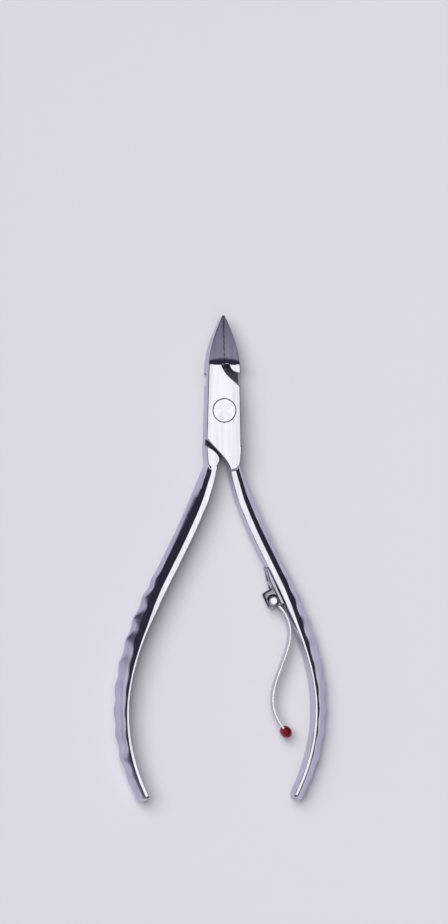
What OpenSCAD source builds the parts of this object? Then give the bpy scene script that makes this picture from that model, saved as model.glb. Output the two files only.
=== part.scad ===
// Cuticle nipper: two forged levers in a lap joint, and a hinged leaf spring with a bead.
// It lies flat. X is to the right, Y runs towards the blade tips and Z is the thickness.
// The origin is on the surface that it lies on, under the middle of its outline.

/* [Overall] */
// Length from the blade tips to the ends of the handles
overall_length = 110; // [104:1:116]
// Distance from the pivot to the blade tips
blade_reach = 21.6; // [20:0.1:23]
// Thickness of the lap joint, both levers together
joint_depth = 5.8; // [5.4:0.1:6.4]

/* [Handles] */
// Distance of the handle's middle line from the centre plane at its widest
grip_spread = 22.65; // [21:0.05:24]
// Distance of the handle's middle line from the centre plane at its end
end_spread = 17.4; // [15:0.1:19]
// Depth of the handle at its end, measured through the thickness
end_depth = 4.8; // [4:0.1:5.4]
// Height of the finger waves on the outer edge
wave_height = 0.38; // [0:0.02:0.5]
// Spacing of the finger waves along the handle
wave_pitch = 5.2; // [4.6:0.1:6]

/* [Jaws] */
// Width of the pair of jaws where the hollow grind begins
jaw_width = 7.4; // [7:0.1:8]
// Depth of the hollow grind at its step
grind_depth = 0.6; // [0.4:0.1:1]
// Thickness of the blades at their tips
tip_depth = 1.1; // [0.8:0.1:1.6]
// Space between the two cutting edges when closed
edge_gap = 0.04; // [0.02:0.01:0.08]

/* [Pivot] */
// Diameter of the rivet's flush head and tail
rivet_head_d = 5.3; // [4.6:0.1:5.6]
// Diameter of the rivet's shank
rivet_shank_d = 3.2; // [2.8:0.1:3.6]
// Depth of the head and of the tail
rivet_head_h = 1; // [0.8:0.1:1.2]
// Radial clearance of the lever that turns on the rivet
pivot_fit = 0.05; // [0.02:0.01:0.08]
// Space between the two lap faces
lap_gap = 0.06; // [0.04:0.01:0.1]

/* [Return spring] */
// Diameter of the hinge pin
pin_d = 1; // [0.9:0.05:1.1]
// Radial clearance of the spring's eye on the pin
pin_fit = 0.04; // [0.02:0.01:0.06]
// Thickness of the leaf
leaf_thick = 0.5; // [0.4:0.02:0.56]
// Width of the leaf at its eye
leaf_width = 2.6; // [2.2:0.1:2.8]
// Width of the leaf at its bead
leaf_end_width = 1.4; // [1.2:0.1:1.8]
// Length of the bead along the leaf
bead_length = 3.1; // [2.8:0.1:3.4]
// Diameter of the bead across the leaf
bead_d = 2.6; // [2.4:0.1:2.8]

/* [Hidden] */
$fn = 64;

// The modules work from the pivot's axis, which is moved to its place at the end.
pivot_y = overall_length / 2 - blade_reach;
mid_z = joint_depth / 2;
edge_x = edge_gap / 2;
lap_z = mid_z + lap_gap / 2;

// Handle: middle line in three curves, from the root to the end.
root_at = [2.6, -12];
knee_at = [0.64 * grip_spread, -39.8];
grip_at = [grip_spread, -67.6];
end_overhang = 0.21;
end_at = [end_spread, blade_reach - overall_length + end_overhang];
root_angle = 15;
knee_angle = 26;
end_angle = -27;
tension = 0.345;
rings_per_curve = 22;
ring_points = 20;
end_round = 0.9;

// Width of the handle in the plane of the levers, by distance below the pivot.
handle_widths = [[-90, 2.7], [-77, 2.8], [-66, 2.95], [-56, 3.3], [-45, 3.75],
                 [-30, 3.95], [-20, 3.95], [-15.5, 3.4], [-12, 2.7]];
// Depth through the thickness.
handle_depths = [[-90, end_depth], [-75, joint_depth - 0.4], [-60, joint_depth], [-40, joint_depth - 0.4],
                 [-20, joint_depth - 1], [-12, joint_depth - 1.1]];
// Squareness of the section: 2 is an oval, and a higher value is closer to a rectangle.
handle_squareness = [[-90, 2.3], [-55, 2.5], [-30, 3.6], [-12, 4]];
wave_from = -36;
wave_to = -84;
wave_fade = 4;

// Head: half width at the shoulder of the joint, and the corners of the lap outline.
waist_x = 4.1;
lap_top_y = 10.4;
curve_steps = 10;

// Jaws, seen from the side.
grind_at = 10.4;
grind_run = 1.2;
tip_top_z = joint_depth - 1.7;
relief_half = 0.8;

// Hinge of the return spring, in a frame whose Y runs up along the handle's inner face.
pin_at = [11.73, -43];
pin_angle = 25.8;
bar_near = 1.3;
bar_far = 2.15;
bar_top = 7.4;
bar_top_near = 1.75;
bar_shoulder = 4.1;
bar_width = leaf_width + 1;
ear_reach = 1.25;
ear_top = 2.3;
ear_top_near = 0.75;
ear_bottom = -1.65;
ear_thick = 0.42;
recess_margin = 0.35;
bracket_rivet_at = 3.4;
bracket_rivet_d = 1.2;
bracket_rivet_head_d = 1.9;
bracket_rivet_head_h = 0.3;
bracket_rivet_depth = 1.4;
pin_head_d = 2;
pin_head_h = 0.4;

// Leaf: middle line from the eye to the bead.
eye_r = pin_d / 2 + pin_fit + leaf_thick / 2;
leaf_start_angle = 52;
leaf_start = pin_at + eye_r * [sin(leaf_start_angle), -cos(leaf_start_angle)];
belly_at = [15.85, -50.4];
waist_at = [11.9, -65.3];
leaf_end = [14.6, -72.15];
leaf_steps = 14;
// How far the bead reaches back over the leaf.
bead_grip = 0.7;

function heading(a) = [sin(a), -cos(a)];
function bezier(p, t) =
    pow(1 - t, 3) * p[0] + 3 * pow(1 - t, 2) * t * p[1] + 3 * (1 - t) * t * t * p[2] + pow(t, 3) * p[3];
function curve(p, n, first = 0) = [for (i = [first:n]) bezier(p, i / n)];
function hermite(a, da, b, db, pull) =
    [a, a + pull * norm(b - a) * heading(da), b - pull * norm(b - a) * heading(db), b];
function reversed(list) = [for (i = [len(list) - 1:-1:0]) list[i]];
function direction(line, i) =
    let (a = line[max(i - 1, 0)], b = line[min(i + 1, len(line) - 1)]) (b - a) / norm(b - a);
function outward(line, i) = let (d = direction(line, i)) [-d.y, d.x];
function step(line, i) = i + 1 < len(line) ? norm(line[i + 1] - line[i]) : 0;
function lengths(line) = [for (i = 0, s = 0; i < len(line); s = s + step(line, i), i = i + 1) s];
function fade(v, a, b, w) = max(0, min(1, (a - v) / w)) * max(0, min(1, (v - b) / w));
function power(value, e) = sign(value) * pow(abs(value), e);

handle_line = concat(
    curve(hermite(root_at, root_angle, knee_at, knee_angle, tension), rings_per_curve),
    curve(hermite(knee_at, knee_angle, grip_at, 0, tension), rings_per_curve, 1),
    curve(hermite(grip_at, 0, end_at, end_angle, tension), rings_per_curve, 1));

// One ring of the handle: an oval or squarish section, with the finger waves on its outer side.
function ring(c, out, half_w, half_d, square, wave) =
    [for (k = [0:ring_points - 1])
        let (a = 360 * k / ring_points,
             side = power(cos(a), 2 / square),
             n = half_w * side + (side > 0 ? wave * side : 0))
        [c.x + out.x * n, c.y + out.y * n, mid_z + half_d * power(sin(a), 2 / square)]];

function ring_at(i, s) =
    let (c = handle_line[i],
         left = s[len(s) - 1] - s[i],
         t = left < end_round ? 1 - left / end_round : 0,
         inset = end_round * (1 - sqrt(1 - t * t)),
         strength = fade(c.y, wave_from, wave_to, wave_fade),
         wave = wave_height * strength * (0.5 - 0.5 * cos(360 * s[i] / wave_pitch)))
    ring(c, outward(handle_line, i), lookup(c.y, handle_widths) / 2 - inset,
         lookup(c.y, handle_depths) / 2 - inset, lookup(c.y, handle_squareness), wave);

// The right handle as one smooth swept bar.
module handle() {
    s = lengths(handle_line);
    count = len(handle_line);
    rings = [for (i = [0:count - 1]) each ring_at(i, s)];
    sides = [for (i = [0:count - 2], k = [0:ring_points - 1])
        let (a = i * ring_points + k, b = i * ring_points + (k + 1) % ring_points)
        each [[a, a + ring_points, b + ring_points], [a, b + ring_points, b]]];
    start_cap = [[for (k = [0:ring_points - 1]) k]];
    end_cap = [[for (k = [ring_points - 1:-1:0]) (count - 1) * ring_points + k]];
    polyhedron(points = rings, faces = concat(sides, start_cap, end_cap), convexity = 6);
}

// Outline curves of the front lever's head, seen from the front.
jaw_side = curve([[-0.15, blade_reach], [-1.9, 18], [-jaw_width / 2 + 0.25, 14], [-jaw_width / 2, 9.5]],
                 curve_steps);
lap_lower_edge = curve([[-waist_x, -6.3], [-1.2, -9.9], [0.6, -10.6], [1.5, -13.6]], curve_steps);
lap_upper_edge = curve([[3.65, 5.4], [2.3, 7], [0.2, 7.9], [-0.6, lap_top_y - 0.1]], curve_steps);
jaw_shoulder = concat(curve([[-3.8, 8.3], [-2.4, 8.5], [-1.2, 8.9], [-1, lap_top_y]], curve_steps),
                      [[-edge_x, lap_top_y + 0.1]]);
root_shoulder = curve([[waist_x, -8], [3, -8.3], [0.6, -9.9], [0.95, -11.4]], curve_steps);
root_foot = [[2.9, -13.2], [3.75, -12.2], [waist_x - 0.1, -9.9]];

module front_half_outline() {
    polygon(concat([[-edge_x, blade_reach]], jaw_side, lap_lower_edge, root_foot, lap_upper_edge,
                   [[-edge_x, lap_top_y + 0.1]]));
}

module jaw_outline() {
    polygon(concat([[-edge_x, blade_reach]], jaw_side, jaw_shoulder));
}

module root_outline() {
    polygon(concat(root_shoulder, [[1.7, -13], [2.3, -13.4]], root_foot));
}

// Half of the joint: the lap plate at the front, with the jaw and the handle's root right through.
module head_blank() {
    translate([0, 0, lap_z])
        linear_extrude(joint_depth - lap_z)
            front_half_outline();
    linear_extrude(joint_depth) {
        jaw_outline();
        root_outline();
    }
}

// What is left of the blank after grinding: a hollow at the front and a sweep at the back.
module ground_profile() {
    back = curve([[8, 0], [14, 0], [18.5, 1.2], [blade_reach, tip_top_z - tip_depth]], curve_steps);
    hollow = curve([[blade_reach, tip_top_z], [17, joint_depth - grind_depth - 0.4],
                    [12.6, joint_depth - grind_depth - 0.1],
                    [grind_at + grind_run, joint_depth - grind_depth]], curve_steps);
    rotate([90, 0, 90])
        linear_extrude(40, center = true)
            polygon(concat([[-20, 0]], back, hollow, [[grind_at, joint_depth], [-20, joint_depth]]));
}

// Wedge behind the cutting edges, so that the jaws meet only along the front.
module edge_relief() {
    translate([0, blade_reach + 1, 0])
        rotate([90, 0, 0])
            linear_extrude(blade_reach - lap_top_y - 1)
                polygon([[0, tip_top_z - tip_depth + 0.5], [-relief_half, -1], [relief_half, -1]]);
}

module head() {
    difference() {
        intersection() {
            head_blank();
            ground_profile();
        }
        edge_relief();
    }
}

// Places the content in the frame of the spring's hinge, on the right handle.
module at_hinge() {
    translate([pin_at.x, pin_at.y, 0])
        rotate([0, 0, pin_angle])
            children();
}

module bracket_rivet_shape() {
    at_hinge()
        translate([bar_near, bracket_rivet_at, mid_z])
            rotate([0, 90, 0]) {
                cylinder(d = bracket_rivet_d, h = bar_far - bar_near + bracket_rivet_depth);
                translate([0, 0, -bracket_rivet_head_h])
                    cylinder(d = bracket_rivet_head_d, h = bracket_rivet_head_h);
            }
}

module front_lever() {
    color("gainsboro")
    difference() {
        union() {
            head();
            handle();
        }
        cylinder(d = rivet_shank_d, h = 3 * joint_depth, center = true);
        translate([0, 0, joint_depth - rivet_head_h])
            cylinder(d = rivet_head_d, h = joint_depth);
        at_hinge()
            translate([bar_far - 4, ear_bottom - recess_margin, -1])
                cube([4, bar_top - ear_bottom + recess_margin, joint_depth + 2]);
        bracket_rivet_shape();
    }
}

module rear_lever() {
    color("silver")
    difference() {
        union() {
            difference() {
                intersection() {
                    translate([0, 0, joint_depth])
                        rotate([0, 180, 0])
                            head_blank();
                    ground_profile();
                }
                edge_relief();
            }
            translate([0, 0, joint_depth])
                rotate([0, 180, 0])
                    handle();
        }
        cylinder(d = rivet_shank_d + 2 * pivot_fit, h = 3 * joint_depth, center = true);
        translate([0, 0, -joint_depth])
            cylinder(d = rivet_head_d + 2 * pivot_fit, h = joint_depth + rivet_head_h + pivot_fit);
    }
}

module pivot_rivet() {
    color("whitesmoke")
        rotate_extrude()
            polygon([[0, 0], [rivet_head_d / 2, 0], [rivet_head_d / 2, rivet_head_h],
                     [rivet_shank_d / 2, rivet_head_h], [rivet_shank_d / 2, joint_depth - rivet_head_h],
                     [rivet_head_d / 2, joint_depth - rivet_head_h], [rivet_head_d / 2, joint_depth],
                     [0, joint_depth]]);
}

// Hinge bracket: a bar in the handle's recess, and two flanges that widen into the pin's ears.
module spring_bracket() {
    color("lightgray")
    difference() {
        at_hinge() {
            translate([0, 0, mid_z - bar_width / 2])
                linear_extrude(bar_width)
                    polygon([[bar_near, ear_bottom], [bar_far, ear_bottom], [bar_far, bar_top],
                             [bar_top_near, bar_top], [bar_near, bar_shoulder]]);
            for (z = [mid_z - bar_width / 2, mid_z + bar_width / 2 - ear_thick])
                translate([0, 0, z])
                    linear_extrude(ear_thick)
                        polygon([[bar_far, bar_top], [bar_top_near, bar_top], [ear_top_near, ear_top],
                                 [-ear_reach, ear_top], [-ear_reach, ear_bottom], [bar_far, ear_bottom]]);
        }
        translate([pin_at.x, pin_at.y, 0])
            cylinder(d = pin_d, h = 3 * joint_depth, center = true);
        bracket_rivet_shape();
    }
}

module bracket_rivet() {
    color("silver")
        bracket_rivet_shape();
}

module spring_pin() {
    color("white")
    translate([pin_at.x, pin_at.y, mid_z]) {
        cylinder(d = pin_d, h = bar_width + 2 * pin_head_h - 0.2, center = true);
        translate([0, 0, bar_width / 2])
            cylinder(d = pin_head_d, h = pin_head_h);
        translate([0, 0, -bar_width / 2 - pin_head_h / 2])
            cylinder(d = 1.5 * pin_d, h = pin_head_h / 2);
    }
}

leaf_line = concat(
    curve(hermite(leaf_start, leaf_start_angle, belly_at, 0, 0.36), leaf_steps),
    curve(hermite(belly_at, 0, waist_at, 0, 0.28), leaf_steps, 1),
    curve(hermite(waist_at, 0, leaf_end, 38, 0.36), leaf_steps, 1));

function beside(line, distance) =
    [for (i = [0:len(line) - 1]) line[i] + distance * outward(line, i)];

// The leaf's side view, cut to its tapered width.
module leaf() {
    intersection() {
        linear_extrude(joint_depth)
            polygon(concat(beside(leaf_line, leaf_thick / 2), reversed(beside(leaf_line, -leaf_thick / 2))));
        rotate([90, 0, 90])
            linear_extrude(100, center = true)
                polygon([[-40, mid_z - leaf_width / 2], [-52, mid_z - leaf_width / 2],
                         [-80, mid_z - leaf_end_width / 2], [-80, mid_z + leaf_end_width / 2],
                         [-52, mid_z + leaf_width / 2], [-40, mid_z + leaf_width / 2]]);
    }
}

// Leaf spring with an eye that turns on the hinge pin.
module return_spring() {
    color("whitesmoke")
    difference() {
        union() {
            leaf();
            translate([pin_at.x, pin_at.y, mid_z])
                cylinder(d = 2 * eye_r + leaf_thick, h = leaf_width, center = true);
        }
        translate([pin_at.x, pin_at.y, 0])
            cylinder(d = pin_d + 2 * pin_fit, h = 3 * joint_depth, center = true);
    }
}

// Bead moulded on the end of the leaf.
module spring_tip() {
    color("darkred")
    difference() {
        translate([leaf_end.x, leaf_end.y, mid_z])
            rotate([0, 0, -50])
                translate([bead_length / 2 - bead_grip, 0, 0])
                    scale([bead_length / bead_d, 1, 1])
                        sphere(d = bead_d);
        leaf();
    }
}

module placed() {
    translate([0, pivot_y, 0])
        children();
}

placed() front_lever();
placed() rear_lever();
placed() pivot_rivet();
placed() spring_bracket();
placed() bracket_rivet();
placed() spring_pin();
placed() return_spring();
placed() spring_tip();
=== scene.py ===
"""Cuticle nipper: two forged steel levers in a lap joint, and a hinged leaf spring with a bead.

Every piece is a solid field in millimetres round the pivot's axis, negative inside. It is sampled on a
grid, turned into quads, and its vertices are then moved exactly onto the surface.
"""
import math

import bpy
import numpy as np
import openvdb
from mathutils import Matrix, Vector


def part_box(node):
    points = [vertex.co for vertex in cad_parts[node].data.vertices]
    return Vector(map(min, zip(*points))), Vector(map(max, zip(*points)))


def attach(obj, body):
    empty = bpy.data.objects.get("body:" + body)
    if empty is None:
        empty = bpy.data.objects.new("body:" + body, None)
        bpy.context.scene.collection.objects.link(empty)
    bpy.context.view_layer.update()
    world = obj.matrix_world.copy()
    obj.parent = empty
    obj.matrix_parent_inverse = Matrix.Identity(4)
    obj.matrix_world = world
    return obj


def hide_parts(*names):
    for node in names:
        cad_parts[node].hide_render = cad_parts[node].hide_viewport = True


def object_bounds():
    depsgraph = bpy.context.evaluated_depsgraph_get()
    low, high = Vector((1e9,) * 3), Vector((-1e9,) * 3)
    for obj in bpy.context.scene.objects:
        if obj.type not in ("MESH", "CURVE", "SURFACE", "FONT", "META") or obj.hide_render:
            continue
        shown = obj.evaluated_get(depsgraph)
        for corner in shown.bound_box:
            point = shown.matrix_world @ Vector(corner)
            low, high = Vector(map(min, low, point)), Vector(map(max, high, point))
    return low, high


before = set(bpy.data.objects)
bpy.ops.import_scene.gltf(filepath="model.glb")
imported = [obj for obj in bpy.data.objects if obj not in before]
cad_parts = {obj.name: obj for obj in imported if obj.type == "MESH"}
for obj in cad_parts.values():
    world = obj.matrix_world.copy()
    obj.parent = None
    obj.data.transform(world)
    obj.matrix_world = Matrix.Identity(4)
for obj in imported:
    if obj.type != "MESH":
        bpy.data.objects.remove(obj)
cad_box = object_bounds()

MM = 0.001
rivet_low, rivet_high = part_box("pivot_rivet")
pin_low, pin_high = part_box("spring_pin")
PIVOT_Y = (rivet_low.y + rivet_high.y) / 2 / MM
DEPTH = rivet_high.z / MM
MID_Z = DEPTH / 2
REACH = cad_box[1].y / MM - PIVOT_Y
PIN = np.array(((pin_low.x + pin_high.x) / 2 / MM, (pin_low.y + pin_high.y) / 2 / MM - PIVOT_Y))

# ---- fields ----------------------------------------------------------------------------------------


def both(a, b, r):
    """Intersection, with its edge rounded over about r."""
    h = np.maximum(r - np.abs(a - b), 0)
    return np.maximum(a, b) + h * h / (4 * r)


def either(a, b, r):
    """Union, with its corner filled over about r."""
    return -both(-a, -b, r)


def without(a, b, r):
    """What is left of a when b is cut away."""
    return both(a, -b, r)


def smooth(value, low, high):
    t = np.clip((value - low) / (high - low), 0, 1)
    return t * t * (3 - 2 * t)


def slab(value, low, high):
    """Distance from the space between two parallel planes."""
    return np.abs(value - (low + high) / 2) - (high - low) / 2


def bezier(points, steps, first=0):
    p = np.array(points, float)
    t = np.arange(first, steps + 1)[:, None] / steps
    return (1 - t) ** 3 * p[0] + 3 * (1 - t) ** 2 * t * p[1] + 3 * (1 - t) * t * t * p[2] + t**3 * p[3]


def heading(degrees):
    """Unit vector that many degrees from straight down, towards +X."""
    a = math.radians(degrees)
    return np.array((math.sin(a), -math.cos(a)))


def hermite(a, angle_a, b, angle_b, pull):
    a, b = np.array(a, float), np.array(b, float)
    arm = pull * np.linalg.norm(b - a)
    return a, a + arm * heading(angle_a), b - arm * heading(angle_b), b


def outline_distance(x, y, outline):
    """Signed distance from a closed outline in the plane."""
    points = np.array(outline, float)
    near = np.full(len(x), 1e9)
    inside = np.zeros(len(x), bool)
    for a, b in zip(points, np.roll(points, -1, axis=0)):
        e = b - a
        size = e @ e
        if size < 1e-12:
            continue
        wx, wy = x - a[0], y - a[1]
        t = np.clip((wx * e[0] + wy * e[1]) / size, 0, 1)
        near = np.minimum(near, (wx - t * e[0]) ** 2 + (wy - t * e[1]) ** 2)
        if e[1]:
            inside ^= ((a[1] > y) != (b[1] > y)) & (wx < wy * e[0] / e[1])
    return np.where(inside, -1, 1) * np.sqrt(near)


class Rail:
    """A smooth line in the plane, along which a section is swept."""

    def __init__(self, curves, steps=80):
        self.points = np.concatenate([bezier(c, steps, min(i, 1)) for i, c in enumerate(curves)])
        gaps = np.linalg.norm(np.diff(self.points, axis=0), axis=1)
        self.lengths = np.concatenate(([0], np.cumsum(gaps)))
        self.total = self.lengths[-1]
        along = np.gradient(self.points, self.lengths, axis=0)
        self.along = along / np.linalg.norm(along, axis=1)[:, None]

    def at(self, s, table):
        return np.interp(s, self.lengths, table[:, 0]), np.interp(s, self.lengths, table[:, 1])

    def project(self, x, y):
        """Length along the line, outward offset from it and height of the nearest point."""
        s = np.interp(-y, -self.points[:, 1], self.lengths)
        for _ in range(5):
            cx, cy = self.at(s, self.points)
            tx, ty = self.at(s, self.along)
            raw = s + (x - cx) * tx + (y - cy) * ty
            s = np.clip(raw, 0, self.total)
        cx, cy = self.at(s, self.points)
        tx, ty = self.at(s, self.along)
        return raw, (x - cx) * -ty + (y - cy) * tx, cy


def table_at(value, table):
    """Value read from a table of (position, value) rows in rising order."""
    rows = np.array(table, float)
    return np.interp(value, rows[:, 0], rows[:, 1])


# ---- levers ----------------------------------------------------------------------------------------

STEPS = 26
EDGE_X = 0.02
LAP_Z = MID_Z + 0.03
LAP_TOP = 10.4
WAIST = 4.1
PAST_CENTRE = 1.5

# Roundings of the levers' edges.
RIM = 0.3
GROUND_ROUND = 0.14
CUT_ROUND = 0.03
FACING_ROUND = 0.05
BORE_ROUND = 0.12
RECESS_ROUND = 0.1
ROOT_FILL = 0.4

# The head's field is worked out above the first height and the handle's below the second.
HEAD_FROM = -17
GRIP_FROM = -9
FAR = 1e3

# Pivot rivet, and the clearance that its shank and its tail have in the rear lever.
SHANK_R = 1.6
CAP_R = 2.65
CAP_DEPTH = 1
REAR_FIT = 0.05

jaw_side = bezier([(-0.15, REACH), (-1.9, 18), (-3.45, 14), (-3.7, 9.5)], STEPS)
lap_lower_edge = bezier([(-WAIST, -6.3), (-1.2, -9.9), (0.6, -10.6), (1.5, -13.6)], STEPS)
lap_upper_edge = bezier([(3.65, 5.4), (2.3, 7.0), (0.2, 7.9), (-0.6, LAP_TOP - 0.1)], STEPS)
jaw_shoulder = bezier([(-3.8, 8.3), (-2.4, 8.5), (-1.2, 8.9), (-1, LAP_TOP)], STEPS)
root_shoulder = bezier([(WAIST, -8), (3, -8.3), (0.6, -9.9), (0.95, -11.4)], STEPS)
over_centre = [(PAST_CENTRE, LAP_TOP + 0.1), (PAST_CENTRE, REACH)]
root_foot = [(2.9, -13.2), (3.75, -12.2), (WAIST - 0.1, -9.9)]
plate_outline = np.concatenate((jaw_side, lap_lower_edge, root_foot, lap_upper_edge, over_centre))
jaw_outline = np.concatenate((jaw_side, jaw_shoulder, over_centre))
root_outline = np.concatenate((root_shoulder, [(1.7, -13), (2.3, -13.4)], root_foot))

HANDLE = Rail([hermite((2.6, -12), 15, (14.5, -39.8), 26, 0.345),
               hermite((14.5, -39.8), 26, (22.65, -67.6), 0, 0.345),
               hermite((22.65, -67.6), 0, (17.4, -88.19), -27, 0.345)])

# Tables of (height, value) along the handle. BEVELS is the run of the two planes outside the flat, and the
# two tilts are their slopes in radians. The rear lever's flat runs up to the head without a step.
WIDTHS = [(-90, 2.7), (-77, 2.8), (-66, 2.95), (-56, 3.3), (-45, 3.75), (-30, 3.95), (-20, 3.95),
          (-15.5, 3.4), (-12, 2.7)]
DEPTHS = [(-90, 4.8), (-75, 5.4), (-60, 5.8), (-40, 5.4), (-20, 4.8), (-12, 4.7)]
REAR_DEPTHS = DEPTHS[:4] + [(-24, 4.9), (-18, 5.0), (-14.2, 5.8), (-12.9, 5.8), (-12, 5.2)]
FLATS = [(-88, 1.0), (-80, 0.95), (-70, 0.8), (-60, 0.7), (-54, 0.72), (-48, 0.9), (-44, 1.3),
         (-40, 1.55), (-16, 1.6), (-12, 1.3)]
BEVELS = [(-88, 0.4), (-80, 0.45), (-70, 0.75), (-60, 1.1), (-54, 1.35), (-44, 1.4), (-33, 1.55),
          (-21, 1.3), (-12, 1.0)]
BEVEL_TILTS = [(-88, 0.58), (-12, 0.56)]
LOWER_TILTS = [(-88, 0.74), (-56, 0.72), (-44, 0.64), (-12, 0.62)]
HANDLE_START = -1.2
HANDLE_END = HANDLE.total - 0.14
END_ROUND = 0.9
INNER_BOW = 0.02
INNER_ROUND = 0.12
BEVEL_ROUND = 0.08
TURN_ROUND = 0.15
FACET_ROUND = 0.25
CREST = 0.3
WAVE_PITCH = 5.2
WAVE_HEIGHT = 0.37
WAVE_FROM = -36
WAVE_TO = -84
WAVE_FADE = 4
WAVE_ON_FACET = 0.4

# Grinding of the jaws: the arched step and the hollow in front, the sweep behind, the relieved edges.
GRIND_AT = 10.35
STEP_RUN = 1.6
STEP_ARCH = 0.06
ARCH_HALF = 3.4
STEP_SLOPE = 0.85
BACK_SLOPE = 0.9
HOLLOW = bezier([(REACH, 4.1), (17, 4.8), (12.6, 5.1), (10.4, 5.25)], STEPS)[::-1]
BACK = bezier([(8, 0), (14, 0), (18.5, 1.2), (REACH, 3.0)], STEPS)
RELIEF_HALF = 0.8
RELIEF_TOP = 3.5
RELIEF_RUN = 4.5
RELIEF_FROM = 12.4
RELIEF_ROUND = 0.1
BACK_ROUND = 0.2

HINGE_TURN = math.radians(25.8)


def handle_field(x, y, z, depths):
    """The right handle: a narrow flat on each side, a sloping bevel and a wavy outer facet."""
    s, n, cy = HANDLE.project(x, y)
    half_w, half_d = table_at(cy, WIDTHS) / 2, table_at(cy, depths) / 2
    flat_end = table_at(cy, FLATS) - half_w
    run, tilt, lower = table_at(cy, BEVELS) / 2, table_at(cy, BEVEL_TILTS), table_at(cy, LOWER_TILTS)
    q = np.abs(z - MID_Z)
    fade = np.clip((WAVE_FROM - cy) / WAVE_FADE, 0, 1) * np.clip((cy - WAVE_TO) / WAVE_FADE, 0, 1)
    wave = WAVE_HEIGHT * (0.5 - 0.5 * np.cos(2 * math.pi * s / WAVE_PITCH)) * fade
    break_q = half_d - run * np.tan(tilt)
    facet_n = flat_end + 2 * run + WAVE_ON_FACET * wave
    facet_q = break_q - run * np.tan(lower)
    rise, across = facet_q - CREST, half_w + wave - facet_n
    inner = INNER_BOW * q * q - n - half_w
    slope = np.sin(tilt) * (n - flat_end) + np.cos(tilt) * (q - half_d)
    turn = np.sin(lower) * (n - flat_end - run) + np.cos(lower) * (q - break_q)
    crest_q = np.sqrt(q * q + CREST**2)
    outer = (rise * (n - facet_n) + across * (crest_q - facet_q)) / np.hypot(rise, across)
    section = both(both(inner, q - half_d, INNER_ROUND), slope, BEVEL_ROUND)
    section = both(both(section, turn, TURN_ROUND), outer, FACET_ROUND)
    return both(section, slab(s, HANDLE_START, HANDLE_END), END_ROUND)


def blank_field(x, y, z):
    """Half of the joint, before grinding: the lap plate, with the jaw and the root right through."""
    plate = both(outline_distance(x, y, plate_outline), slab(z, LAP_Z, DEPTH), RIM)
    through = np.minimum(outline_distance(x, y, jaw_outline), outline_distance(x, y, root_outline))
    return np.minimum(plate, both(through, slab(z, 0, DEPTH), RIM))


def ground_field(x, y, z):
    """What the grinding leaves: the hollow at the front, the sweep at the back, relieved edges."""
    arch = STEP_RUN - STEP_ARCH * np.clip(x, -ARCH_HALF, ARCH_HALF) ** 2
    left = 1 - np.clip((y - GRIND_AT) / arch, 0, 1)
    floor_z = np.interp(y, HOLLOW[:, 0], HOLLOW[:, 1])
    step = DEPTH - (DEPTH - floor_z) * (1 - left * left)
    back_z = np.interp(y, BACK[:, 0], BACK[:, 1])
    front = (z - step) * np.where((left > 0) & (left < 1), STEP_SLOPE, 1)
    body = both(front, (back_z - z) * BACK_SLOPE, BACK_ROUND)
    wedge = both(np.abs(x) - RELIEF_HALF * (RELIEF_TOP - z) / RELIEF_RUN, RELIEF_FROM - y, BACK_ROUND)
    return without(body, wedge, RELIEF_ROUND)


def lever_field(x, y, z, rear):
    """One lever, in the place of the front one, ground as its own side needs."""
    solid = np.full(len(x), FAR)
    head, grip = y > HEAD_FROM, y < GRIP_FROM
    sign = -1 if rear else 1
    hz = DEPTH - z if rear else z
    blank = blank_field(sign * x[head], y[head], hz[head])
    facing = both(-EDGE_X - sign * x[head], LAP_TOP - y[head], FACING_ROUND)
    ground = both(blank, ground_field(x[head], y[head], z[head]), GROUND_ROUND)
    solid[head] = without(ground, facing, CUT_ROUND)
    handle = np.full(len(x), FAR)
    depths = REAR_DEPTHS if rear else DEPTHS
    handle[grip] = handle_field(sign * x[grip], y[grip], hz[grip], depths)
    solid = np.maximum(either(solid, handle, ROOT_FILL), slab(z, 0, DEPTH))
    radius = np.hypot(x, y) - (REAR_FIT if rear else 0)
    bore = np.minimum(radius - SHANK_R, np.maximum(radius - CAP_R, DEPTH - CAP_DEPTH - hz))
    return without(solid, bore, BORE_ROUND)


# ---- hinge of the spring ---------------------------------------------------------------------------

PIN_R = 0.5
PIN_HEAD_R = 1.0
PIN_HEAD_H = 0.4
PIN_TAIL_R = 0.75
PIN_TAIL_H = 0.2
PIN_SHANK_PAST = 0.3

BAR_NEAR = 1.3
BAR_FAR = 2.15
BAR_TOP = 7.4
BAR_TOP_NEAR = 1.75
BAR_SHOULDER = 4.1
BAR_WIDTH = 3.6
EAR_REACH = 1.25
EAR_TOP = 2.3
EAR_TOP_NEAR = 0.75
EAR_BOTTOM = -1.65
EAR_THICK = 0.42
RECESS_MARGIN = 0.35
HINGE_BELOW = 8
HINGE_ABOVE = 12

# The ears' outer corners lie on a circle round a point beside the pin.
NOSE_AT = (0.3, 0.25)
NOSE_R = 2.28

# The ears' faces fall away round the pin's head.
DISH_FROM = 1.05
DISH_RUN = 0.5
DISH_SLOPE = 0.5

SMALL_RIVET_AT = 3.4
SMALL_SHANK_R = 0.6
SMALL_SHANK_DEPTH = 1.4
SMALL_HEAD_R = 0.95
SMALL_HEAD_H = 0.3

bar_outline = [(BAR_NEAR, EAR_BOTTOM), (BAR_FAR, EAR_BOTTOM), (BAR_FAR, BAR_TOP), (BAR_TOP_NEAR, BAR_TOP),
               (BAR_NEAR, BAR_SHOULDER)]
ear_outline = [(BAR_FAR, BAR_TOP), (BAR_TOP_NEAR, BAR_TOP), (EAR_TOP_NEAR, EAR_TOP), (-EAR_REACH, EAR_TOP),
               (-EAR_REACH, EAR_BOTTOM), (BAR_FAR, EAR_BOTTOM)]


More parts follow.
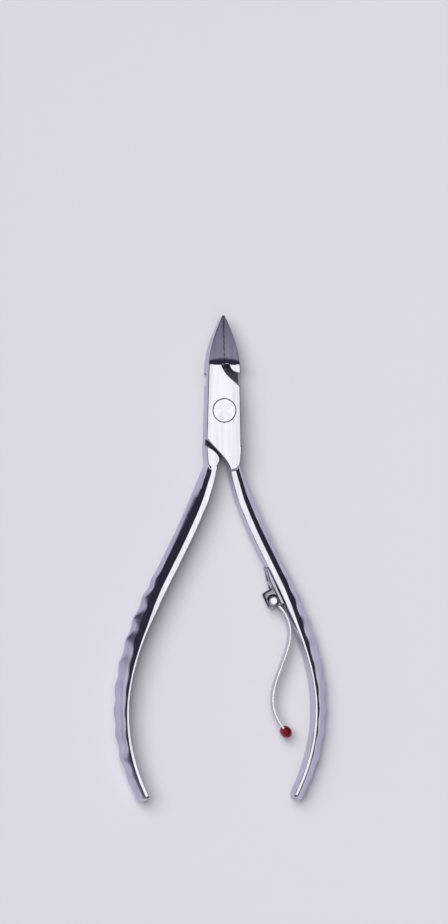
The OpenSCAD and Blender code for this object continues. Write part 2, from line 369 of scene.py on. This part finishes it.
def hinge_frame(x, y):
    """Coordinates out towards the right handle, and up along it, from the hinge pin."""
    dx, dy = x - PIN[0], y - PIN[1]
    c, s = math.cos(HINGE_TURN), math.sin(HINGE_TURN)
    return c * dx + s * dy, c * dy - s * dx


def bracket_rivet(x, y, z):
    """The small rivet that holds the bracket: its shank, and its head inside the bracket."""
    out, up = hinge_frame(x, y)
    radius = np.hypot(up - SMALL_RIVET_AT, z - MID_Z)
    shank = both(radius - SMALL_SHANK_R, slab(out, BAR_NEAR, BAR_FAR + SMALL_SHANK_DEPTH), 0.1)
    head = both(radius - SMALL_HEAD_R, slab(out, BAR_NEAR - SMALL_HEAD_H, BAR_NEAR), 0.2)
    return np.minimum(shank, head)


def front_lever(x, y, z):
    """The front lever, with the recess and the hole for the bracket of the spring."""
    lever = lever_field(x, y, z, False)
    near = slab(y, PIN[1] - HINGE_BELOW, PIN[1] + HINGE_ABOVE) < 0
    out, up = hinge_frame(x[near], y[near])
    recess = both(out - BAR_FAR, slab(up, EAR_BOTTOM - RECESS_MARGIN, BAR_TOP), RECESS_ROUND)
    cut = np.minimum(recess, bracket_rivet(x[near], y[near], z[near]))
    lever[near] = without(lever[near], cut, GROUND_ROUND)
    return lever


def rear_lever(x, y, z):
    return lever_field(x, y, z, True)


def pivot_rivet(x, y, z):
    """Shank, with a flush head in front and the same at the back."""
    radius = np.hypot(x, y)
    caps = np.maximum(radius - CAP_R, MID_Z - CAP_DEPTH - np.abs(z - MID_Z))
    return both(np.minimum(radius - SHANK_R, caps), slab(z, 0, DEPTH), 0.16)


def spring_bracket(x, y, z):
    """A bar in the handle's recess, with two flanges that widen into the ears of the pin."""
    out, up = hinge_frame(x, y)
    q = np.abs(z - MID_Z)
    radius = np.hypot(out, up)
    bar = both(outline_distance(out, up, bar_outline), q - BAR_WIDTH / 2, 0.22)
    nose = np.hypot(out - NOSE_AT[0], up - NOSE_AT[1]) - NOSE_R
    nose = np.where((out < EAR_TOP_NEAR) | (up < PIN_R), nose, -FAR)
    plan = np.maximum(outline_distance(out, up, ear_outline), nose)
    dish = DISH_SLOPE * np.clip(radius - DISH_FROM, 0, DISH_RUN) * smooth(-up, -4, -1)
    ears = both(plan, BAR_WIDTH / 2 - EAR_THICK - q, 0.05)
    ears = both(ears, q - BAR_WIDTH / 2 + dish, 0.12)
    solid = without(either(bar, ears, 0.15), radius - PIN_R, 0.08)
    return without(solid, bracket_rivet(x, y, z), 0.05)


def spring_pin(x, y, z):
    """Hinge pin: shank, domed head in front and a flattened tail."""
    radius = np.hypot(x - PIN[0], y - PIN[1])
    top, bottom = MID_Z + BAR_WIDTH / 2, MID_Z - BAR_WIDTH / 2
    shank = both(radius - PIN_R, slab(z, bottom - PIN_SHANK_PAST, top + PIN_SHANK_PAST), 0.05)
    head = both(radius - PIN_HEAD_R, slab(z, top, top + PIN_HEAD_H), 0.3)
    tail = both(radius - PIN_TAIL_R, slab(z, bottom - PIN_TAIL_H, bottom), 0.15)
    return np.minimum(np.minimum(shank, head), tail)


# ---- leaf spring and bead --------------------------------------------------------------------------

LEAF_HALF = 0.25
LEAF_ROUND = 0.07
PIN_FIT = 0.04
EYE_R = PIN_R + PIN_FIT + LEAF_HALF
LEAF_TURN = 52
BELLY = (15.85, -50.4)
WAIST_AT = (11.9, -65.3)
LEAF_END = (14.6, -72.15)
END_TURN = 38
LEAF = Rail([hermite(PIN + EYE_R * heading(LEAF_TURN), LEAF_TURN, BELLY, 0, 0.36),
             hermite(BELLY, 0, WAIST_AT, 0, 0.28),
             hermite(WAIST_AT, 0, LEAF_END, END_TURN, 0.36)])
LEAF_WIDTHS = [(-80, 1.4), (-52, 2.6), (-40, 2.6)]
EYE_HALF_WIDTH = 1.3
BEAD_TURN = math.radians(-50)
BEAD_PAST = 0.85
BEAD_AXIS = np.array((math.cos(BEAD_TURN), math.sin(BEAD_TURN)))
BEAD = LEAF.points[-1] + BEAD_PAST * BEAD_AXIS
BEAD_RADII = (1.55, 1.3)


def leaf_field(x, y, z):
    """The leaf alone, tapering towards the bead."""
    s, n, cy = LEAF.project(x, y)
    section = both(np.abs(n) - LEAF_HALF, np.abs(z - MID_Z) - table_at(cy, LEAF_WIDTHS) / 2, LEAF_ROUND)
    return both(section, slab(s, 0, LEAF.total), 0.1)


def return_spring(x, y, z):
    """The leaf and its eye round the pin."""
    radius = np.hypot(x - PIN[0], y - PIN[1])
    eye = both(radius - EYE_R - LEAF_HALF, np.abs(z - MID_Z) - EYE_HALF_WIDTH, 0.12)
    return without(either(leaf_field(x, y, z), eye, 0.3), radius - PIN_R - PIN_FIT, 0.06)


def spring_tip(x, y, z):
    """An oval bead, moulded over the end of the leaf."""
    a = (x - BEAD[0]) * BEAD_AXIS[0] + (y - BEAD[1]) * BEAD_AXIS[1]
    b = (y - BEAD[1]) * BEAD_AXIS[0] - (x - BEAD[0]) * BEAD_AXIS[1]
    c = z - MID_Z
    one = np.sqrt((a / BEAD_RADII[0]) ** 2 + (b * b + c * c) / BEAD_RADII[1] ** 2) + 1e-9
    two = np.sqrt((a / BEAD_RADII[0] ** 2) ** 2 + (b * b + c * c) / BEAD_RADII[1] ** 4) + 1e-9
    return np.maximum(one * (one - 1) / two, -leaf_field(x, y, z))


# ---- meshes ----------------------------------------------------------------------------------------

BLOCK = 4
PROBE = 0.006
NEWTON_STEPS = 3
LEAST_SLOPE = 0.3
BAND_CELLS = 3
NEAR_BLOCKS = 0.75


def gradient(field, p):
    """Gradient of the field by central differences."""
    g = np.empty_like(p)
    for axis in range(3):
        shift = np.zeros(3)
        shift[axis] = PROBE
        a, b = (p + shift).T, (p - shift).T
        g[:, axis] = (field(*a) - field(*b)) / (2 * PROBE)
    return g


def sample(field, low, high, step):
    """The field on a grid: exact near the surface, and a plain inside or outside value elsewhere."""
    counts = np.ceil((high - low) / (step * BLOCK)).astype(int) + 1
    centres = [low[i] + (np.arange(counts[i]) * BLOCK + (BLOCK - 1) / 2) * step[i] for i in range(3)]
    coarse_at = np.stack(np.meshgrid(*centres, indexing="ij"), -1).reshape(-1, 3)
    coarse = field(*coarse_at.T)
    reach = NEAR_BLOCKS * BLOCK * np.linalg.norm(step)
    picked = np.abs(coarse) < reach
    limit = BAND_CELLS * step.max()
    far = np.where(coarse > 0, limit, -limit)
    values = far.reshape(counts)
    for axis in range(3):
        values = np.repeat(values, BLOCK, axis=axis)
    block = np.stack(np.meshgrid(*[np.arange(BLOCK)] * 3, indexing="ij"), -1).reshape(-1, 3)
    corner = np.stack(np.unravel_index(np.flatnonzero(picked), counts), -1) * BLOCK
    cells = (corner[:, None] + block[None]).reshape(-1, 3)
    exact = field(*(low + cells * step).T)
    values[tuple(cells.T)] = np.clip(exact, -limit, limit)
    return values.astype(np.float32)


def surface(name, field, step):
    """A closed mesh of quads on the field's zero surface, with exact normals."""
    node_low, node_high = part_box(name)
    shift = np.array((0, PIVOT_Y, 0))
    step = np.array(step)
    low = np.array(node_low) / MM - shift - BAND_CELLS * step
    high = np.array(node_high) / MM - shift + BAND_CELLS * step
    values = sample(field, low, high, step)
    grid = openvdb.FloatGrid(BAND_CELLS * step.max())
    grid.copyFromArray(values)
    points, quads = grid.convertToQuads(isovalue=0)
    p = np.asarray(points, float) * step + low
    for _ in range(NEWTON_STEPS):
        g = gradient(field, p)
        size = np.maximum((g * g).sum(1), LEAST_SLOPE**2)
        move = g * (field(*p.T) / size)[:, None]
        p -= np.clip(move, -step.min() / 2, step.min() / 2)
    g = gradient(field, p)
    normals = g / np.maximum(np.linalg.norm(g, axis=1), 1e-6)[:, None]
    a, b, c = (p[quads[:, i]] for i in (0, 1, 2))
    if (np.cross(b - a, c - a) * normals[quads[:, 0]]).sum() < 0:
        quads = quads[:, ::-1]
    mesh = bpy.data.meshes.new(name + "_visual")
    mesh.from_pydata(((p + shift) * MM).tolist(), [], quads.tolist())
    mesh.shade_smooth()
    mesh.normals_split_custom_set_from_vertices(normals.tolist())
    piece = bpy.data.objects.new(name + "_visual", mesh)
    bpy.context.collection.objects.link(piece)
    return piece, p, normals


def attribute(piece, name, values):
    layer = piece.data.attributes.new(name, "FLOAT", "POINT")
    layer.data.foreach_set("value", values.astype(np.float32))


def zones(node, p, normals):
    """Finish zones of a lever: ground blades, the satin outside of the grip, painted shade on the lap faces.
    """
    ground = smooth(p[:, 1], GRIND_AT, GRIND_AT + 0.25) * smooth(normals[:, 2], 0.92, 0.97)
    sign = -1 if node == "rear_lever" else 1
    _, n, cy = HANDLE.project(sign * p[:, 0], p[:, 1])
    start = table_at(cy, FLATS) + table_at(cy, BEVELS) - table_at(cy, WIDTHS) / 2
    grip = smooth(n - start, -0.15, 0.1) * smooth(-p[:, 1], 12, 15)
    # Painted shade: the lap faces inside the joint, which look along the pivot near the middle depth, are
    # marked to be painted near black.
    lap = smooth(np.abs(normals[:, 2]), 0.6, 0.9) * smooth(-np.abs(p[:, 2] - MID_Z), -0.5, -0.2)
    lap = lap * smooth(p[:, 1], -16, -14)
    return {"ground": ground, "grip": grip, "lap": lap}


# ---- materials -------------------------------------------------------------------------------------


def ramp(nodes, low, high, a, b):
    """A node that maps low..high to a..b, held at both ends."""
    node = nodes.new("ShaderNodeMapRange")
    for key, value in zip(("From Min", "From Max", "To Min", "To Max"), (low, high, a, b)):
        node.inputs[key].default_value = value
    return node


class Finish:
    """A material and the helpers that build its nodes."""

    SOCKETS = {"FLOAT": (2, 3, 0), "RGBA": (6, 7, 2)}

    def __init__(self, name, **settings):
        self.material = bpy.data.materials.new(name)
        self.material.use_nodes = True
        self.nodes, self.links = self.material.node_tree.nodes, self.material.node_tree.links
        self.shader = self.nodes["Principled BSDF"]
        for key, value in settings.items():
            self.shader.inputs[key.replace("_", " ")].default_value = value
        self.place = self.nodes.new("ShaderNodeTexCoord").outputs["Object"]

    def noise(self, scale, stretch, detail=3.0):
        """Noise in the object's own space, stretched along its axes."""
        mapping = self.nodes.new("ShaderNodeMapping")
        mapping.inputs["Scale"].default_value = stretch
        self.links.new(self.place, mapping.inputs["Vector"])
        texture = self.nodes.new("ShaderNodeTexNoise")
        texture.inputs["Scale"].default_value = scale
        texture.inputs["Detail"].default_value = detail
        self.links.new(mapping.outputs["Vector"], texture.inputs["Vector"])
        return texture.outputs["Fac"]

    def ramp(self, source, spread, low, high):
        node = ramp(self.nodes, *spread, low, high)
        self.links.new(source, node.inputs["Value"])
        return node.outputs["Result"]

    def zone(self, name):
        """The value that the mesh's points carry under that name."""
        node = self.nodes.new("ShaderNodeAttribute")
        node.attribute_name = name
        return node.outputs["Fac"]

    def mix(self, kind, factor, a, b):
        """From a to b by the factor; each may be a socket or a value."""
        node = self.nodes.new("ShaderNodeMix")
        node.data_type = kind
        first, second, result = self.SOCKETS[kind]
        for index, value in ((0, factor), (first, a), (second, b)):
            if isinstance(value, bpy.types.NodeSocket):
                self.links.new(value, node.inputs[index])
            else:
                node.inputs[index].default_value = value
        return node.outputs[result]

    def streaked(self, shade, colour, dull):
        """The colour, and its duller version where the shade is low."""
        return self.mix("RGBA", shade, (*[dull * c for c in colour], 1), (*colour, 1))

    def bump(self, height, strength, distance):
        relief = self.nodes.new("ShaderNodeBump")
        relief.inputs["Strength"].default_value = strength
        relief.inputs["Distance"].default_value = distance
        self.links.new(height, relief.inputs["Height"])
        self.links.new(relief.outputs["Normal"], self.shader.inputs["Normal"])

    def connect(self, tone, roughness):
        """The finished material, with its colour and roughness joined."""
        self.links.new(tone, self.shader.inputs["Base Color"])
        self.links.new(roughness, self.shader.inputs["Roughness"])
        return self.material


GRAZING = (0.76, 0.74, 0.84, 1)
SPREAD = (0.35, 0.65)
CLOUD_SCALE = 260
DULL = 0.86
WORN = 1.1
WORN_ROUGH = 0.04
METAL_RELIEF = 0.00004

GRIND_SCALE = 900
GRIND_STRETCH = (1.6, 0.05, 0.6)
GRIND_SPREAD = (0.36, 0.64)
GRIND_ROUGH = 0.42
GRIND_DARK = (0.62, 0.58, 0.79, 1)
GRIND_LIGHT = (0.84, 0.79, 1.0, 1)
ZONE_DULL = 0.85
# Grip: a satin finish. Lap: painted shade, a near-black tone on the lap faces inside the joint.
GRIP_FINISH_AND_LAP_SHADE = [("grip", (0.64, 0.61, 0.76), 0.2), ("lap", (0.16, 0.15, 0.18), 0.45)]


def lever_finishes_and_lap_shade(metal, shade, tone, roughness, height):
    """The levers' own finishes, lengthwise grinding on the blades and a satin grip, and painted shade on the
    lap.
    """
    mask = metal.zone("ground")
    grind = metal.noise(GRIND_SCALE, GRIND_STRETCH, 2.0)
    grind_shade = metal.ramp(grind, GRIND_SPREAD, 0.0, 1.0)
    tone = metal.mix("RGBA", mask, tone, metal.mix("RGBA", grind_shade, GRIND_DARK, GRIND_LIGHT))
    roughness = metal.mix("FLOAT", mask, roughness, GRIND_ROUGH)
    height = metal.mix("FLOAT", mask, height, grind)
    for zone, colour, rough in GRIP_FINISH_AND_LAP_SHADE:
        mask = metal.zone(zone)
        tone = metal.mix("RGBA", mask, tone, metal.streaked(shade, colour, ZONE_DULL))
        roughness = metal.mix("FLOAT", mask, roughness, rough)
    return tone, roughness, height


def steel(name, colour, rough, streak, streak_scale, bump, zoned=False):
    """Steel with fine finishing lines, uneven gloss, a little staining and brighter worn edges."""
    metal = Finish(name, Metallic=1, Specular_Tint=GRAZING)
    clouds = metal.noise(CLOUD_SCALE, (1, 1, 1))
    height = metal.noise(streak_scale, streak)
    roughness = metal.ramp(clouds, SPREAD, *rough)
    shade = metal.ramp(height, SPREAD, 0.0, 1.0)
    tone = metal.streaked(shade, colour, DULL)
    # On the levers: their ground and satin finishes, and painted shade on the lap faces.
    if zoned:
        tone, roughness, height = lever_finishes_and_lap_shade(metal, shade, tone, roughness, height)
    edge = metal.zone("edge")
    tone = metal.mix("RGBA", edge, tone, (*[min(1, WORN * c) for c in colour], 1))
    roughness = metal.mix("FLOAT", edge, roughness, rough[1] + WORN_ROUGH)
    metal.bump(height, bump, METAL_RELIEF)
    return metal.connect(tone, roughness)


BEAD_SPREAD = (0.3, 0.7)
BEAD_DARK = (0.35, (0.15, 0.003, 0.006, 1))
BEAD_LIGHT = (0.68, (0.48, 0.012, 0.02, 1))


def bead_plastic():
    """Clear dark red plastic, with slightly cloudy depth and fine surface wear."""
    bead = Finish("bead_plastic_red", IOR=1.5, Transmission_Weight=0.55, Coat_Weight=0.6,
                  Coat_Roughness=0.06)
    cloud = bead.noise(900, (1, 1, 1), 4.0)
    tone = bead.nodes.new("ShaderNodeValToRGB")
    for element, (position, colour) in zip(tone.color_ramp.elements, (BEAD_DARK, BEAD_LIGHT)):
        element.position = position
        element.color = colour
    bead.links.new(cloud, tone.inputs["Fac"])
    bead.bump(cloud, 0.15, 0.00005)
    return bead.connect(tone.outputs["Color"], bead.ramp(cloud, BEAD_SPREAD, 0.12, 0.26))


lever_steel = steel("lever_steel_polished", (0.74, 0.725, 0.79), (0.05, 0.11), (1.2, 0.06, 1.2), 700, 0.05,
                    zoned=True)
rivet_steel = steel("rivet_steel_turned", (0.77, 0.76, 0.81), (0.07, 0.13), (1, 1, 0.2), 800, 0.06)
bracket_steel = steel("bracket_steel_brushed", (0.50, 0.48, 0.56), (0.16, 0.26), (1.2, 0.15, 1.2), 900, 0.12)
spring_steel = steel("spring_steel_bright", (0.78, 0.77, 0.81), (0.10, 0.18), (0.6, 0.1, 2.0), 900, 0.08)

# ---- pieces ----------------------------------------------------------------------------------------

# Grid steps in millimetres: the levers' are finest across the handles' narrow flats.
LEVER_GRID = (0.1, 0.25, 0.128)

# Node, field, grid, body, material slot and material.
PIECES = [
    ("front_lever", front_lever, LEVER_GRID, "front_lever", "lever_steel", lever_steel),
    ("rear_lever", rear_lever, LEVER_GRID, "rear_lever", "lever_steel", lever_steel),
    ("pivot_rivet", pivot_rivet, (0.1,) * 3, "front_lever", "rivet_steel", rivet_steel),
    ("spring_bracket", spring_bracket, (0.08,) * 3, "front_lever", "bracket_steel", bracket_steel),
    ("bracket_rivet", bracket_rivet, (0.06,) * 3, "front_lever", "rivet_steel", rivet_steel),
    ("spring_pin", spring_pin, (0.06,) * 3, "front_lever", "rivet_steel", rivet_steel),
    ("return_spring", return_spring, (0.09,) * 3, "spring", "spring_steel", spring_steel),
    ("spring_tip", spring_tip, (0.08,) * 3, "spring", "bead_plastic", bead_plastic()),
]

# Edges are worn where the surface is nearer than it should be to a point this far inside.
EDGE_DEPTH = 0.2
EDGE_LEAST = 0.02
EDGE_RUN = 0.1
EDGE_WEAR = 0.7

for node, field, step, body, slot, material in PIECES:
    piece, p, normals = surface(node, field, step)
    inside = field(*(p - EDGE_DEPTH * normals).T)
    attribute(piece, "edge", np.clip((inside + EDGE_DEPTH - EDGE_LEAST) / EDGE_RUN, 0, 1) * EDGE_WEAR)
    if slot == "lever_steel":
        for name, values in zones(node, p, normals).items():
            attribute(piece, name, values)
    piece.data.materials.append(material)
    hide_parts(node)
    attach(piece, body)

# ---- floor, light and camera -----------------------------------------------------------------------

FLOOR_COLOUR = (0.80, 0.785, 0.84, 1)
FLOOR_SHADE = 0.985
FLOOR_RADIUS = 20.0
FLOOR_SIDES = 96

# The studio is dark, and pale low down on the left and towards the handles' ends.
SKY_DARK = (0.036, 0.031, 0.052, 1)
SKY_PALE = (0.66, 0.64, 0.73, 1)
PALE_BELOW = (-0.3, -0.95, 0.0, 0.6)
PALE_LEFT = (-0.89, -0.945, 0.0, 1.0)
SOFTBOX_X = 0.095
SOFTBOX_Y = -0.02
SOFTBOX_HEIGHT = 0.5
SOFTBOX_SIZE = (0.21, 0.26)
SOFTBOX_POWER = 0.21
KEY_FROM = (-0.6, 0.5, 1.2)
KEY_STRENGTH = 2.75
KEY_ANGLE = math.radians(50)

# The camera looks from the left, and sees the rivet at its pixel.
VIEW_TURN = math.radians(11)
VIEW_ROLL = math.radians(0.3)
VIEW_DISTANCE = 0.9
PIXELS_PER_MM = 4.436
PICTURE = (448, 924)
RIVET_PIXEL = (224.2, 410.3)
SENSOR = 36
NEAR_CLIP = 0.01
FAR_CLIP = 50


def floor():
    """A plain pale floor, far wider than any view."""
    turns = [2 * math.pi * i / FLOOR_SIDES for i in range(FLOOR_SIDES)]
    ring = [(FLOOR_RADIUS * math.cos(a), FLOOR_RADIUS * math.sin(a), 0) for a in turns]
    mesh = bpy.data.meshes.new("floor")
    mesh.from_pydata(ring, [], [list(range(FLOOR_SIDES))])
    material = bpy.data.materials.new("floor_matt")
    material.use_nodes = True
    nodes, links = material.node_tree.nodes, material.node_tree.links
    shader = nodes["Principled BSDF"]
    shader.inputs["Roughness"].default_value = 0.9
    shader.inputs["Specular IOR Level"].default_value = 0.1
    texture = nodes.new("ShaderNodeTexNoise")
    texture.inputs["Scale"].default_value = 30
    tone = nodes.new("ShaderNodeValToRGB")
    tone.color_ramp.elements[0].color = (*[FLOOR_SHADE * c for c in FLOOR_COLOUR[:3]], 1)
    tone.color_ramp.elements[1].color = FLOOR_COLOUR
    links.new(texture.outputs["Fac"], tone.inputs["Fac"])
    links.new(tone.outputs["Color"], shader.inputs["Base Color"])
    mesh.materials.append(material)
    plane = bpy.data.objects.new("floor", mesh)
    bpy.context.collection.objects.link(plane)


def light(name, kind, location, target, strength, in_gloss, **settings):
    data = bpy.data.lights.new(name, kind)
    data.energy = strength
    for key, value in settings.items():
        setattr(data, key, value)
    lamp = bpy.data.objects.new(name, data)
    lamp.location = location
    aim = Vector(target) - Vector(location)
    lamp.rotation_mode = "QUATERNION"
    lamp.rotation_quaternion = aim.to_track_quat("-Z", "Y")
    lamp.visible_glossy = in_gloss
    bpy.context.collection.objects.link(lamp)


def studio():
    """World, the box light seen in the flats, and the soft key light."""
    scene = bpy.context.scene
    scene.view_settings.view_transform = "Standard"
    world = bpy.data.worlds.new("studio")
    world.use_nodes = True
    scene.world = world
    nodes, links = world.node_tree.nodes, world.node_tree.links
    place = nodes.new("ShaderNodeTexCoord")
    axes = nodes.new("ShaderNodeSeparateXYZ")
    links.new(place.outputs["Generated"], axes.inputs["Vector"])
    pale = nodes.new("ShaderNodeMath")
    pale.operation = "MAXIMUM"
    for i, (axis, limits) in enumerate((("Y", PALE_BELOW), ("X", PALE_LEFT))):
        share = ramp(nodes, *limits)
        share.interpolation_type = "SMOOTHSTEP"
        links.new(axes.outputs[axis], share.inputs["Value"])
        links.new(share.outputs["Result"], pale.inputs[i])
    sky = nodes.new("ShaderNodeValToRGB")
    sky.color_ramp.elements[0].color = SKY_DARK
    sky.color_ramp.elements[1].color = SKY_PALE
    links.new(pale.outputs["Value"], sky.inputs["Fac"])
    links.new(sky.outputs["Color"], nodes["Background"].inputs["Color"])
    light("softbox", "AREA", (SOFTBOX_X, SOFTBOX_Y, SOFTBOX_HEIGHT), (SOFTBOX_X, SOFTBOX_Y, 0),
          SOFTBOX_POWER, True, shape="RECTANGLE", size=SOFTBOX_SIZE[0], size_y=SOFTBOX_SIZE[1])
    light("key", "SUN", KEY_FROM, (0, 0, 0), KEY_STRENGTH, False, angle=KEY_ANGLE)


def camera():
    """The camera, placed so that the front of the rivet falls on its pixel."""
    toward = Vector((-math.sin(VIEW_TURN), 0, math.cos(VIEW_TURN)))
    side = Vector((math.cos(VIEW_TURN), 0, math.sin(VIEW_TURN)))
    up = Vector((0, 1, 0))
    right = (PICTURE[0] / 2 - RIVET_PIXEL[0]) / PIXELS_PER_MM * MM
    above = (RIVET_PIXEL[1] - PICTURE[1] / 2) / PIXELS_PER_MM * MM
    target = Vector((0, PIVOT_Y * MM, DEPTH * MM)) + right * side + above * up
    data = bpy.data.cameras.new("camera")
    data.lens = PIXELS_PER_MM * SENSOR * VIEW_DISTANCE / MM / PICTURE[1]
    data.sensor_width = SENSOR
    data.clip_start, data.clip_end = NEAR_CLIP, FAR_CLIP
    cam = bpy.data.objects.new("camera", data)
    roll = Matrix.Rotation(VIEW_ROLL, 3, toward)
    rotation = Matrix((roll @ side, roll @ up, toward)).transposed()
    cam.matrix_world = Matrix.Translation(target + VIEW_DISTANCE * toward) @ rotation.to_4x4()
    bpy.context.collection.objects.link(cam)
    bpy.context.scene.camera = cam


floor()
studio()
camera()
